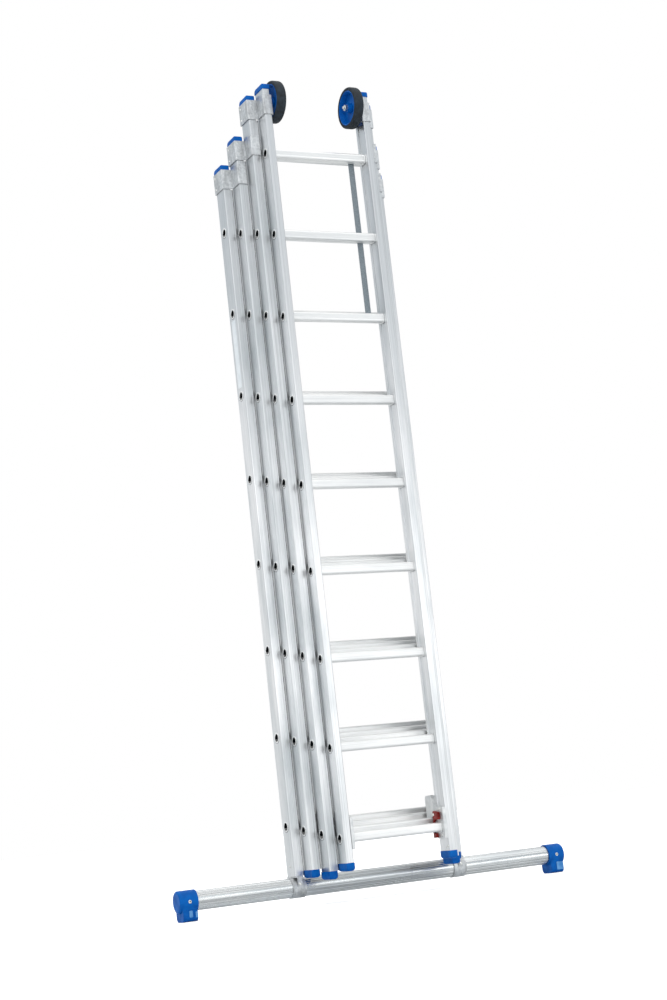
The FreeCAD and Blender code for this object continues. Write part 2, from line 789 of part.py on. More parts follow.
def clamp():
    """Strap round the tube, a seat under the rail, a plug up inside it and a bolted front tongue."""
    body = new_body("clamp_right")
    strap_r = "(tube_wide/2 + seat + clamp_sheet)"
    seat_top = "(tube_wide/2 + seat + 2*clamp_sheet)"
    strap = sketch_on(body, "YZ_Plane", "strap")
    circle(strap, "0", "0", f"2*{strap_r}")
    pad(body, strap, "clamp_wide", symmetric=True)
    rest = sketch_on(body, "XY_Plane", "rest", seat_top)
    rectangle(rest, "-rail_thick/2", "rail_thick/2", f"-{strap_r} - clamp_sheet", "rail_depth/2")
    pad(body, rest, "2*clamp_sheet", backwards=True)
    plug = sketch_on(body, "XY_Plane", "plug", f"{seat_top} - clamp_sheet")
    left, right, front, rear = hollow_limits("plug_play")
    rectangle(plug, f"{left} + rail_thick/2", f"{right} + rail_thick/2", front, rear)
    pad(body, plug, "clamp_plug_up")
    tongue = sketch_on(body, "XZ_Plane", "tongue", strap_r)
    rectangle(tongue, "-clamp_tongue/2", "clamp_tongue/2", "0", seat_top)
    pad(body, tongue, "clamp_sheet")
    well = sketch_on(body, "XY_Plane", "well", f"{seat_top} - clamp_sheet + clamp_plug_up")
    rectangle(well, f"{left} + rail_thick/2 + clamp_sheet", f"{right} + rail_thick/2 - clamp_sheet",
              f"{front} + clamp_sheet", f"{rear} - clamp_sheet")
    pocket(body, well, "clamp_plug_up - 2*clamp_sheet")
    bore = sketch_on(body, "YZ_Plane", "tube_bore")
    circle(bore, "0", "0", "tube_wide + 2*seat")
    pocket(body, bore, symmetric=True)
    bolt = sketch_on(body, "XZ_Plane", "bolt_hole")
    circle(bolt, "0", "clamp_bolt_up", "clamp_bolt_wide + 2*fit")
    pocket(body, bolt, backwards=True)
    place(body, "base_width/2 - rail_thick/2", height="tube_z")
    keep_pair(body)


def clamp_bolt():
    """A round-headed screw along -X, to be turned so that its head faces forward."""
    body = new_body("clamp_bolt")
    side = sketch_on(body, "XY_Plane", "side")
    outline(side, [
        ("-2*clamp_sheet - seat", "0"),
        ("-2*clamp_sheet - seat", "clamp_bolt_wide/2"),
        ("0", "clamp_bolt_wide/2"),
        ("0", "clamp_bolt_head/2"),
        ("clamp_bolt_dome/2", "clamp_bolt_head/2 - clamp_bolt_dome/5"),
        ("clamp_bolt_dome", "clamp_bolt_head/4"),
        ("clamp_bolt_dome", "0"),
    ])
    turned(body, side)
    return body


def end_foot():
    """Moulded end cap on the tube with a block that stands on the floor; x = 0 is its outer end."""
    body = new_body("end_foot_right")
    sleeve = sketch_on(body, "YZ_Plane", "sleeve")
    circle(sleeve, "0", "0", "tube_wide + 2*seat + 2*end_sleeve_wall")
    pad(body, sleeve, "end_sleeve_long", backwards=True)
    sleeve_r = size["tube_wide"] / 2 + size["seat"] + size["end_sleeve_wall"]
    fillet(body, "end_round", lambda e: near(e.BoundBox.XMin, 0) and near(e.BoundBox.XMax, 0)
           and near(e.BoundBox.YLength, 2 * sleeve_r))
    block = sketch_on(body, "YZ_Plane", "block", "-end_block_inset")
    rectangle(block, "-end_block_deep/2", "end_block_deep/2", "-tube_z", "-tube_wide/4")
    pad(body, block, "end_block_long", backwards=True)
    fillet(body, "end_block_round", lambda e: runs_along(e, RIGHT) and near(
        e.Vertexes[0].Point.z, -size["tube_z"]))
    window = sketch_on(body, "XZ_Plane", "window", "end_block_deep/2")
    middle = "(-end_block_inset - end_block_long/2)"
    for sign in ("-", "+"):
        rectangle(window, f"{middle} {sign} end_window_apart/2 - end_window_wide/2",
                  f"{middle} {sign} end_window_apart/2 + end_window_wide/2",
                  "-end_window_low", "-end_window_high")
    pocket(body, window, "end_window_deep")
    bore = sketch_on(body, "YZ_Plane", "tube_bore", "-end_wall")
    circle(bore, "0", "0", "tube_wide + 2*seat")
    pocket(body, bore)
    hole = sketch_on(body, "XZ_Plane", "rivet_hole")
    circle(hole, "-end_rivet_in", "0", "rivet_shank + 2*fit")
    pocket(body, hole, backwards=True)
    place(body, "bar_span/2", height="tube_z")
    keep_pair(body)


# stay bar behind the upper rungs of the top section, close to the right rail


def stay_bar():
    body = new_body("top_stay_bar")
    face = sketch_on(body, "XZ_Plane", "face")
    rectangle(face, "-stay_wide", "0", "-rung_size/4", "2*rung_pitch + rung_size/4")
    pad(body, face, "stay_thick", backwards=True)
    place(body, f"{outer_face(3)} - rail_thick - stay_inset",
          "-3*depth_step + rung_size/2 + seat",
          f"{first_row(3)} + (upper_rung_count - 3)*rung_pitch")
    keep(body)


# build every piece

cap_source, foot_source = top_cap(), rail_foot()
guide_rivet = rivet("guide_rivet", f"guide_sheet + {GUIDE_OFF} + rail_wall")
wall_rivet = rivet("wall_rivet", "rail_wall")
foot_rivet = rivet("foot_rivet", "recess_deep + rail_wall")
hook_rivet = rivet("hook_rivet", "hook_thick + recess_deep + rail_wall")
sleeve_rivet = rivet("sleeve_rivet", "end_sleeve_wall")
pin_source = latch_pin()

for section, step, rung_count in SECTIONS:
    rail(section, step, rung_count)
    rungs(section, step, rung_count)
    across = size["base_width"] / 2 - step * size["side_step"]
    inside = across - size["rail_thick"]
    depth, row = -step * size["depth_step"], size["base_row_z"] - step * size["drop_step"]
    high = row + (size[rung_count] - 1) * size["rung_pitch"] + size[f"{section}_rail_above"]
    keep_copies(f"{section}_caps", both_sides(cap_source, across, depth, high))
    if section != "top":
        guide(section, step)
    if section != "base":
        hook_plate(section, step)
        latch(section, step)
        low = row - size[f"{section}_rail_below"]
        keep_copies(f"{section}_feet", both_sides(foot_source, across, depth, low))
        pivot = row + size["rung_size"] / 2 + size["pivot_up"]
        keep_copies(f"{section}_latch_pins",
                    both_sides(pin_source, inside, depth + size["pivot_y"], pivot))
    fixings = []
    if section != "top":
        head = across + size["bead_thick"] + size["seat"] + size["guide_sheet"]
        for rise in (-size["rivet_spread"], size["rivet_spread"]):
            fixings += both_sides(guide_rivet, head, depth + size["rivet_aside"],
                                  high - size["guide_tall"] / 2 + rise)
    if section == "base":
        low = size["tube_z"] + size["tube_wide"] / 2 + 2 * size["seat"] + 2 * size["clamp_sheet"]
        fixings += both_sides(wall_rivet, across, depth, low + size["clamp_plug_up"] * 2 / 3)
    else:
        foot_line, hook_line = depth - size["rivet_aside"], depth - size["hook_rivet_front"]
        plate = inside - size["hook_thick"]
        for source, face, line, height in (
            (foot_rivet, inside, foot_line, low + size["foot_plug_deep"] * 2 / 3),
            (hook_rivet, plate, hook_line, row + size["hook_high"] - size["hook_rivet_inset"]),
            (hook_rivet, plate, hook_line, row - size["hook_low"] + size["hook_rivet_inset"]),
        ):
            # these heads face the middle of the ladder, so the copies change sides
            fixings += [(source, (face, line, height), True), (source, (-face, line, height), False)]
    keep_copies(f"{section}_rivets", fixings)

hub()
tyre()
stay_bar()
stabiliser_tube()
clamp()
end_foot()

# the loop ends with the top section, so its inner face, depth and height are the wheels'
axle_z = high - size["axle_down"]
keep_copies("axle_bolts", both_sides(axle_bolt(), inside + size["recess_deep"], depth, axle_z))
nut_x = inside - size["wheel_gap"] - size["tyre_wide"] + size["hub_inset"] - size["seat"]
keep_copies("axle_nuts", both_sides(axle_nut(), nut_x, depth, axle_z))

bolt_source, quarter = clamp_bolt(), FreeCAD.Rotation(Vector(0, 0, 1), -90)
bolt_source.Placement.Rotation = quarter
strap_front = -(size["tube_wide"] / 2 + size["seat"] + 2 * size["clamp_sheet"])
keep_copies("clamp_bolts", both_sides(
    bolt_source, size["base_width"] / 2 - size["rail_thick"] / 2, strap_front,
    size["tube_z"] + size["clamp_bolt_up"]))
sleeve_rivet.Placement.Rotation = quarter
sleeve_front = -(size["tube_wide"] / 2 + size["seat"] + size["end_sleeve_wall"])
keep_copies("end_foot_rivets", both_sides(
    sleeve_rivet, size["bar_span"] / 2 - size["end_rivet_in"], sleeve_front, size["tube_z"]))

# check everything, then write one STEP file for each kept piece

doc.recompute()
failed = [item.Name for item in doc.Objects if {"Invalid", "Error"} & set(item.State)]
if failed:
    raise RuntimeError(f"features that failed: {failed}")
for item in parts:
    if item.Shape.isNull() or not item.Shape.isValid() or not item.Shape.Solids:
        raise RuntimeError(f"{item.Label} has no valid solid")
os.makedirs("parts", exist_ok=True)
for item in parts:
    item.Shape.exportStep(f"parts/{item.Label}.step")
print(f"{len(parts)} nodes, {sum(len(item.Shape.Solids) for item in parts)} solids")
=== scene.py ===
import json
import math

import bmesh
import bpy
from mathutils import Matrix, Vector


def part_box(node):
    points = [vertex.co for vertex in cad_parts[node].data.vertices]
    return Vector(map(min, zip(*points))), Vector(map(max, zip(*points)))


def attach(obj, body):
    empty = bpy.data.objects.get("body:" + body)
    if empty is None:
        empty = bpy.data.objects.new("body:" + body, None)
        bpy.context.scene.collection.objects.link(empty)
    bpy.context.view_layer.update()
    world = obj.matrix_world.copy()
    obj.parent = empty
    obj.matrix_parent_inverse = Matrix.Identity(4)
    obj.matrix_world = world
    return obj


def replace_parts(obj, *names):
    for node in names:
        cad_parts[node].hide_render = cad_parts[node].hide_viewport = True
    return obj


# A nested push-up extension ladder: metres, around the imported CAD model.
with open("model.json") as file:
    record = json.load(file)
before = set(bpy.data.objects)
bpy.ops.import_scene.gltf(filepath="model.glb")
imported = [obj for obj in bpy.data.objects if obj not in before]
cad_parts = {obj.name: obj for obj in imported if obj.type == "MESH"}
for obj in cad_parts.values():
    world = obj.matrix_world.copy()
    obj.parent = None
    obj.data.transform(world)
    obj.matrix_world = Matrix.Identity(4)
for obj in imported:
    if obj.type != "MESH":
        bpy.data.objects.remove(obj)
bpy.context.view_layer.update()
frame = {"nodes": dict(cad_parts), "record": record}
nodes = frame["nodes"]
bodies = frame["record"]["behaviour"]["bodies"]
bodyOf = {node: body for body, members in bodies.items() for node in members}
sides = (("right", 1), ("left", -1))
sections = ("base", "lower", "middle", "top")  # rear to front
print("frame loaded:", len(nodes), "nodes")


def linear(hexColour):
    channels = [int(hexColour[n:n + 2], 16) / 255 for n in (1, 3, 5)]
    return [c / 12.92 if c <= 0.04045 else ((c + 0.055) / 1.055) ** 2.4 for c in channels] + [1.0]


def addNode(tree, kind, inputs=None, settings=None, stops=()):
    # inputs: a socket is linked, anything else becomes the default, and sockets that share a name
    # go by number; stops: (place, hex colour) along a ramp
    node = tree.nodes.new("ShaderNode" + kind)
    for name, value in (settings or {}).items():
        setattr(node, name, value)
    for key, value in (inputs or {}).items():
        if isinstance(value, bpy.types.NodeSocket):
            tree.links.new(value, node.inputs[key])
        else:
            node.inputs[key].default_value = value
    for n, (place, colour) in enumerate(stops):
        elements = node.color_ramp.elements
        element = elements[n] if n < 2 else elements.new(place)
        element.position, element.color = place, linear(colour)
    return node


def startMaterial(name, values):
    material = bpy.data.materials.new(name)
    material.use_nodes = True
    shader = material.node_tree.nodes["Principled BSDF"]
    for key, value in values.items():
        shader.inputs[key].default_value = value
    where = addNode(material.node_tree, "TexCoord").outputs["Object"]
    return material, material.node_tree, shader, where


def connect(tree, shader, colour, roughness, height, strength, distance):
    relief = {"Height": height, "Strength": strength, "Distance": distance}
    bump = addNode(tree, "Bump", relief).outputs[0]
    for source, socket in ((colour, "Base Color"), (roughness, "Roughness"), (bump, "Normal")):
        tree.links.new(source, shader.inputs[socket])


# a pattern's scale is so many repeats a metre: 420 gives marks about 2.4 mm apart
extrusion = {"lineAlong": 1.2, "hazeAcross": 14.0, "hazeAlong": 3.0, "specks": 900.0}
multiply = {"data_type": "RGBA", "blend_type": "MULTIPLY"}


# mill-finish aluminium, pressed through a die: fine lines along its length, drawn coarser than
# the real scratches, and hazy oxide in patches some 70 mm across and 330 mm long
def extrudedAluminium(name, along, light, dark, roughness, lineDepth=0.9, lineScale=420.0):
    material, tree, shader, where = startMaterial(name, {"Metallic": 1.0})
    acrossLines = [lineScale] * 3
    acrossLines["xyz".index(along)] = extrusion["lineAlong"]
    acrossHaze = [extrusion["hazeAcross"]] * 3
    acrossHaze["xyz".index(along)] = extrusion["hazeAlong"]
    linesAt = addNode(tree, "Mapping", {0: where, "Scale": acrossLines}).outputs[0]
    hazeAt = addNode(tree, "Mapping", {0: where, "Scale": acrossHaze}).outputs[0]
    lines = addNode(tree, "TexNoise", {
        0: linesAt, "Scale": 1.0, "Detail": 3.0, "Roughness": 0.6}).outputs[0]
    haze = addNode(tree, "TexNoise", {
        0: hazeAt, "Scale": 1.0, "Detail": 4.0, "Roughness": 0.55}).outputs[0]
    specks = addNode(tree, "TexNoise", {
        0: where, "Scale": extrusion["specks"], "Detail": 2.0}).outputs[0]
    tone = addNode(tree, "ValToRGB", {0: haze}, stops=((0.3, dark), (0.62, light))).outputs[0]
    shade = "#" + "%02X" % round(255 * lineDepth) * 3
    streak = addNode(tree, "ValToRGB", {0: lines}, stops=(
        (0.35, shade), (0.65, "#FFFFFF"))).outputs[0]
    colour = addNode(tree, "Mix", {0: 1.0, 6: tone, 7: streak}, multiply).outputs[2]
    rough = addNode(tree, "MapRange", {
        0: haze, 1: 0.3, 2: 0.7, 3: roughness + 0.07, 4: roughness - 0.05}).outputs[0]
    relief = addNode(tree, "Math", {0: specks, 1: 0.25, 2: lines}, {"operation": "MULTIPLY_ADD"})
    connect(tree, shader, colour, rough, relief.outputs[0], 0.35, 0.00012)
    return material


# sand-cast aluminium, tumbled: an even satin, its grain under 1 mm, its clouds 22 mm across
def tumbledCasting(name):
    material, tree, shader, where = startMaterial(name, {"Metallic": 1.0})
    grain = addNode(tree, "TexNoise", {0: where, "Scale": 1300.0, "Detail": 3.0}).outputs[0]
    clouds = addNode(tree, "TexNoise", {0: where, "Scale": 45.0, "Detail": 3.0}).outputs[0]
    tone = addNode(tree, "ValToRGB", {0: clouds}, stops=(
        (0.3, "#C8CBCC"), (0.7, "#DCDDDD"))).outputs[0]
    rough = addNode(tree, "MapRange", {0: clouds, 1: 0.3, 2: 0.7, 3: 0.55, 4: 0.42}).outputs[0]
    connect(tree, shader, tone, rough, grain, 0.4, 0.0002)
    return material


# hot-dip galvanised steel sheet: dull zinc crystals about 7 mm across, each a little lighter or
# darker, with smudges about 17 mm wide and 60 mm tall
def galvanisedSteel(name):
    material, tree, shader, where = startMaterial(name, {"Metallic": 1.0})
    wobble = addNode(tree, "TexNoise", {0: where, "Scale": 120.0, "Detail": 2.0}).outputs["Color"]
    bent = addNode(tree, "Mix", {0: 0.006, 4: where, 5: wobble}, {"data_type": "VECTOR"}).outputs[1]
    crystals = addNode(tree, "TexVoronoi", {0: bent, "Scale": 150.0}, {"feature": "F1"})
    smudgeAt = addNode(tree, "Mapping", {0: where, "Scale": (60.0, 60.0, 16.0)}).outputs[0]
    smudge = addNode(tree, "TexNoise", {
        0: smudgeAt, "Scale": 1.0, "Detail": 4.0, "Roughness": 0.6}).outputs[0]
    tone = addNode(tree, "ValToRGB", {0: crystals.outputs["Color"]}, stops=(
        (0.2, "#C8CBCD"), (0.8, "#DCDEDF"))).outputs[0]
    stain = addNode(tree, "ValToRGB", {0: smudge}, stops=(
        (0.34, "#D8D8D8"), (0.62, "#FFFFFF"))).outputs[0]
    colour = addNode(tree, "Mix", {0: 1.0, 6: tone, 7: stain}, multiply).outputs[2]
    rough = addNode(tree, "MapRange", {0: smudge, 1: 0.3, 2: 0.7, 3: 0.58, 4: 0.44}).outputs[0]
    connect(tree, shader, colour, rough, smudge, 0.25, 0.0004)
    return material


# zinc-plated steel, and a drawn steel strip darkened with painted shade: smooth, with darker
# handling marks about 4 mm across
def platedSteel(name, dark, light, roughness):
    material, tree, shader, where = startMaterial(name, {"Metallic": 1.0})
    marks = addNode(tree, "TexNoise", {0: where, "Scale": 260.0, "Detail": 3.0}).outputs[0]
    tone = addNode(tree, "ValToRGB", {0: marks}, stops=((0.3, dark), (0.7, light))).outputs[0]
    rough = addNode(tree, "MapRange", {
        0: marks, 1: 0.3, 2: 0.7, 3: roughness + 0.1, 4: roughness - 0.08}).outputs[0]
    connect(tree, shader, tone, rough, marks, 0.1, 0.0001)
    return material


# injection-moulded nylon: spark-eroded grain of 0.7 mm, soft gloss, faint flow clouds 26 mm across
def mouldedNylon(name, dark, light, roughness, shine=0.22):
    values = {"Metallic": 0.0, "IOR": 1.53, "Specular IOR Level": shine}
    material, tree, shader, where = startMaterial(name, values)
    flow = addNode(tree, "TexNoise", {0: where, "Scale": 38.0, "Detail": 3.0}).outputs[0]
    grain = addNode(tree, "TexNoise", {0: where, "Scale": 1500.0, "Detail": 2.0}).outputs[0]
    tone = addNode(tree, "ValToRGB", {0: flow}, stops=((0.3, dark), (0.72, light))).outputs[0]
    rough = addNode(tree, "MapRange", {
        0: flow, 1: 0.3, 2: 0.7, 3: roughness + 0.06, 4: roughness - 0.05}).outputs[0]
    connect(tree, shader, tone, rough, grain, 0.3, 0.00015)
    return material


# vulcanised rubber: nearly matt, grain of 0.9 mm, dusty grey in patches about 18 mm across
def vulcanisedRubber(name):
    values = {"Metallic": 0.0, "IOR": 1.52, "Specular IOR Level": 0.25}
    material, tree, shader, where = startMaterial(name, values)
    dust = addNode(tree, "TexNoise", {
        0: where, "Scale": 55.0, "Detail": 5.0, "Roughness": 0.65}).outputs[0]
    grain = addNode(tree, "TexNoise", {0: where, "Scale": 1100.0, "Detail": 2.0}).outputs[0]
    tone = addNode(tree, "ValToRGB", {0: dust}, stops=(
        (0.35, "#12181E"), (0.75, "#2C353D"))).outputs[0]
    rough = addNode(tree, "MapRange", {0: dust, 1: 0.3, 2: 0.7, 3: 0.55, 4: 0.78}).outputs[0]
    connect(tree, shader, tone, rough, grain, 0.5, 0.0003)
    return material


finishes = {
    "rail": extrudedAluminium("mill-finish aluminium, drawn upright", "z",
                              "#E6E7E8", "#CED2D4", 0.33),
    "rung": extrudedAluminium("mill-finish aluminium, drawn crosswise", "x",
                              "#F6F6F5", "#E9EAEA", 0.46, 0.93),
    "tube": extrudedAluminium("ribbed aluminium tube", "x",
                              "#F0F2F2", "#D3D8DB", 0.25, 0.72, 260.0),
    "cast": tumbledCasting("tumbled aluminium casting"),
    "sheet": galvanisedSteel("hot-dip galvanised sheet"),
    "zinc": platedSteel("bright zinc-plated steel", "#BFC0BE", "#E8E8E4", 0.3),
    # painted shade: the stay bar's steel grey is set darker because it faces back, away from the
    # lamps
    "stay": platedSteel("drawn steel strip, darkened as painted shade", "#7C848A", "#8E979D", 0.45),
    "blue": mouldedNylon("blue moulded nylon", "#004A96", "#005EB0", 0.45, 0.08),
    "paleBlue": mouldedNylon("paler blue nylon", "#2E70B0", "#6FA3D2", 0.6),
    "red": mouldedNylon("red moulded nylon", "#6A1410", "#8E1F18", 0.4),
    "rubber": vulcanisedRubber("vulcanised tyre rubber"),
    "film": mouldedNylon("blank vinyl film", "#D4DADE", "#E4E8EA", 0.35, 0.5),
    # painted shade: near-black pieces set deep in the rung bores, round the rung mouths, at the
    # rail gaps and in the eyelet holes, where there is only shade
    "paintedShade": mouldedNylon("painted shade in hollows and gaps", "#0A0D10", "#14181C", 0.85, 0.05),
}
nodeFinish = (  # the first word found in a node's name decides
    ("rivets", "zinc"), ("latch_pins", "zinc"), ("axle_", "zinc"), ("clamp_bolts", "zinc"),
    ("_caps", "blue"), ("_feet", "blue"), ("end_foot", "blue"), ("hub_", "blue"),
    ("tyre_", "rubber"), ("_latch_", "red"), ("_guide_", "sheet"), ("clamp_", "sheet"),
    ("hook_plate", "cast"), ("stabiliser_tube", "tube"), ("_rungs", "rung"), ("stay_bar", "stay"),
    ("_rail_", "rail"),
)


def finishFor(name):
    return next(finish for word, finish in nodeFinish if word in name)


for name, node in nodes.items():
    node.data.materials.clear()
    node.data.materials.append(finishes[finishFor(name)])
print("materials assigned")

# vertices nearer than these are one, and a lathe outline stops this short of its axis
merge = {"piece": 1e-6, "spin": 1e-7, "node": 1e-5}
nearAxis = 0.00001


def finishPiece(name, bm, finish, body, sharpAngle=35):
    # closes the mesh, turns it outwards and hangs it on its body
    bmesh.ops.remove_doubles(bm, verts=bm.verts, dist=merge["piece"])
    bmesh.ops.recalc_face_normals(bm, faces=bm.faces)
    mesh = bpy.data.meshes.new(name)
    bm.to_mesh(mesh)
    bm.free()
    mesh.materials.append(finishes[finish])
    mesh.polygons.foreach_set("use_smooth", [True] * len(mesh.polygons))
    mesh.set_sharp_from_angle(angle=math.radians(sharpAngle))
    piece = bpy.data.objects.new(name, mesh)
    bpy.context.scene.collection.objects.link(piece)
    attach(piece, body)
    return piece


def stamp(bm, source, matrix):
    # adds a moved copy of a small bmesh
    mesh = bpy.data.meshes.new("stamp")
    source.to_mesh(mesh)
    before = len(bm.verts)
    bm.from_mesh(mesh)
    bpy.data.meshes.remove(mesh)
    bm.verts.ensure_lookup_table()
    bmesh.ops.transform(bm, matrix=matrix, verts=bm.verts[before:])


def lathe(points, steps):
    # a closed outline of (x, radius) points, spun round the X axis
    bm = bmesh.new()
    verts = [bm.verts.new((x, 0, radius)) for x, radius in points]
    for first, second in zip(verts, verts[1:] + verts[:1]):
        bm.edges.new((first, second))
    bmesh.ops.spin(bm, geom=bm.verts[:] + bm.edges[:], axis=(1, 0, 0), cent=(0, 0, 0),
                   angle=math.tau, steps=steps, use_merge=True)
    bmesh.ops.remove_doubles(bm, verts=bm.verts, dist=merge["spin"])
    return bm


def block(width, depth, height):
    bm = bmesh.new()
    bmesh.ops.create_cube(bm, size=1.0)
    bmesh.ops.scale(bm, vec=(width, depth, height), verts=bm.verts)
    return bm


def rounded(bm, edges, offset, segments, keepApart=False):
    bmesh.ops.bevel(bm, geom=edges, offset=offset, segments=segments, profile=0.5, affect="EDGES",
                    material=-1, clamp_overlap=keepApart)


def alongAxis(bm, axis, test=lambda middle: True):
    # the straight edges that run along one axis, where test likes their middle
    return [e for e in bm.edges if abs((e.verts[0].co - e.verts[1].co).normalized()[axis]) > 0.99
            and test((e.verts[0].co + e.verts[1].co) / 2)]


def corners(bm, degrees):
    # the edges whose two faces meet at more than this angle
    return [e for e in bm.edges
            if len(e.link_faces) == 2 and e.calc_face_angle(0) > math.radians(degrees)]


def bead(radius, thick, count=8):
    # the small round outline of a bead, at a radius
    turns = [math.tau * n / count for n in range(count)]
    return [(thick * math.sin(turn), radius + thick * math.cos(turn)) for turn in turns]


# cast and moulded pieces get soft edges on a merged copy, which stands for the node
softEdges = {"hook_plate": 0.0012, "_latch_left": 0.0008, "_latch_right": 0.0008,
             "end_foot_left": 0.0011, "end_foot_right": 0.0011}
softening = {"flatWithin": 0.5, "cornerOver": 32, "segments": 2, "sharpOver": 20}
for name in list(nodes):
    width = next((width for word, width in softEdges.items() if word in name), None)
    if width is None:
        continue
    bm = bmesh.new()
    bm.from_mesh(nodes[name].data)
    bmesh.ops.remove_doubles(bm, verts=bm.verts, dist=merge["node"])
    bmesh.ops.dissolve_limit(bm, angle_limit=math.radians(softening["flatWithin"]),
                             verts=bm.verts, edges=bm.edges)
    rounded(bm, corners(bm, softening["cornerOver"]), width, softening["segments"], True)
    soft = finishPiece(name + "_soft", bm, finishFor(name), bodyOf[name], softening["sharpOver"])
    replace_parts(soft, name)
print("edges softened")

# rung ends: a swaged mouth through the rail, a collar inside it, a near-black ring painting the
# bead's shadow round the mouth, and a near-black liner painting the shade deep in the tube
rung = {"size": 0.030, "pitch": 0.28, "steps": 28, "mouth": 0.0144, "lip": 0.00125,
        "beadShadow": 0.0168, "beadShadowThick": 0.00045, "beadShadowPoints": 4,
        "bore": 0.01298, "wall": 0.0004, "setBack": 0.0012, "deep": 0.045,
        "collar": 0.0157, "collarWide": 0.004, "collarEdge": 0.0082, "collarRounds": 5,
        "collarSoft": 0.0007, "flatWithin": 1e-6, "plate": 0.010}
lip = lathe(bead(rung["mouth"], rung["lip"]), rung["steps"])
# painted shadow: a thin near-black ring round each mouth, where the swaged bead meets the rail
beadShadow = lathe(bead(rung["beadShadow"], rung["beadShadowThick"], rung["beadShadowPoints"]), rung["steps"])
# painted shade: a near-black liner set back in each tube end, for the shade inside the long bore
inside, back = rung["bore"] - rung["wall"], -rung["deep"] - rung["wall"]
hollow = lathe([(-rung["setBack"], rung["bore"]), (-rung["setBack"], inside),
                (-rung["deep"], inside), (-rung["deep"], nearAxis),
                (back, nearAxis), (back, rung["bore"])], rung["steps"])
collar = block(rung["collarWide"], 2 * rung["collar"], 2 * rung["collar"])
rounded(collar, alongAxis(collar, 0), rung["collarEdge"], rung["collarRounds"])
rims = [e for e in collar.edges if abs((e.verts[0].co - e.verts[1].co).x) < rung["flatWithin"]]
rounded(collar, rims, rung["collarSoft"], 2)
for section in sections:
    low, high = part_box(section + "_rungs")
    railLow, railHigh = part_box(section + "_rail_right")
    depth, firstRow = (low.y + high.y) / 2, low.z + rung["size"] / 2
    rows = round((high.z - low.z - rung["size"]) / rung["pitch"]) + 1
    mouths, collars, hollows = bmesh.new(), bmesh.new(), bmesh.new()
    for row in range(rows):
        height = firstRow + row * rung["pitch"]
        plated = row == 0 and section != "base"  # a hook plate stands between rail and collar
        standOff = rung["plate"] if plated else 0
        for side, sign in sides:
            turn = Matrix.Scale(sign, 4, (1, 0, 0))
            mouth = Matrix.Translation((sign * railHigh.x, depth, height)) @ turn
            stamp(mouths, lip, mouth)
            stamp(hollows, beadShadow, mouth)
            stamp(hollows, hollow, mouth @ Matrix.Translation((high.x - railHigh.x, 0, 0)))
            across = sign * (railLow.x - standOff - rung["collarWide"] / 2)
            stamp(collars, collar, Matrix.Translation((across, depth, height)))
    finishPiece(section + "_rung_mouths", mouths, "rung", section + "_section")
    finishPiece(section + "_rung_collars", collars, "rung", section + "_section")
    # the near-black rings and liners are painted shade
    finishPiece(section + "_rung_painted_shade", hollows, "paintedShade", section + "_section")
print("rung ends formed")

# a thin lip on each rail's front inner edge all but shuts the gap to the next section, and a
# near-black strip at its tip paints the shadow in what is left of the gap
edgeLip = {"wide": 0.0050, "thick": 0.002, "overlap": 0.001, "inset": 0.9, "edge": 0.0005,
           "line": 0.0018, "lineThick": 0.8, "belowGuide": 0.069}
for section in sections[:3]:
    low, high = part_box(section + "_rail_right")
    top = high.z - edgeLip["belowGuide"]
    depth, height = low.y + edgeLip["thick"] * edgeLip["inset"], (top + low.z) / 2
    strip = block(edgeLip["wide"] + edgeLip["overlap"], edgeLip["thick"], top - low.z)
    rounded(strip, alongAxis(strip, 2), edgeLip["edge"], 2)
    # painted shadow: the near-black strip at the lip's tip
    line = block(edgeLip["line"], edgeLip["thick"] * edgeLip["lineThick"], top - low.z)
    rounded(line, alongAxis(line, 2), edgeLip["edge"], 1)
    lips, lines = bmesh.new(), bmesh.new()
    for side, sign in sides:
        across = sign * (low.x - (edgeLip["wide"] - edgeLip["overlap"]) / 2)
        stamp(lips, strip, Matrix.Translation((across, depth, height)))
        across = sign * (low.x - edgeLip["wide"] - edgeLip["line"] / 2)
        stamp(lines, line, Matrix.Translation((across, depth, height)))
    finishPiece(section + "_rail_lips", lips, "rail", section + "_section")
    finishPiece(section + "_gap_painted_shadows", lines, "paintedShade", section + "_section")

# rail caps: domed at the rear, square in front
cap = {"tall": 0.0178, "proud": 0.002, "clearance": 0.0001, "rear": 0.0125, "rearRounds": 9,
       "front": 0.005, "frontRounds": 3, "frontFrom": -0.02, "edge": 0.0038, "edgeRounds": 4,
       "cornerOver": 50}
for section in sections:
    low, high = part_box(section + "_rail_right")
    top = block(high.x - low.x + 2 * cap["proud"], high.y - low.y + 2 * cap["proud"], cap["tall"])
    rearEdge = alongAxis(top, 0, lambda m: m.z > 0 and m.y > 0)
    rounded(top, rearEdge, cap["rear"], cap["rearRounds"])
    frontEdge = alongAxis(top, 0, lambda m: m.y < cap["frontFrom"] and m.z > cap["tall"] * 0.49)
    rounded(top, frontEdge, cap["front"], cap["frontRounds"])
    ends = [e for e in corners(top, cap["cornerOver"])  # all but the bottom ones
            if (e.verts[0].co + e.verts[1].co).z > -cap["tall"] * 0.98]
    rounded(top, ends, cap["edge"], cap["edgeRounds"])
    bm = bmesh.new()
    height = high.z + cap["tall"] / 2 + cap["clearance"]
    for side, sign in sides:
        middle = ((low.x + high.x) / 2 * sign, (low.y + high.y) / 2, height)
        stamp(bm, top, Matrix.Translation(middle))
    domed = finishPiece(section + "_domed_caps", bm, "blue", section + "_section")
    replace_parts(domed, section + "_caps")

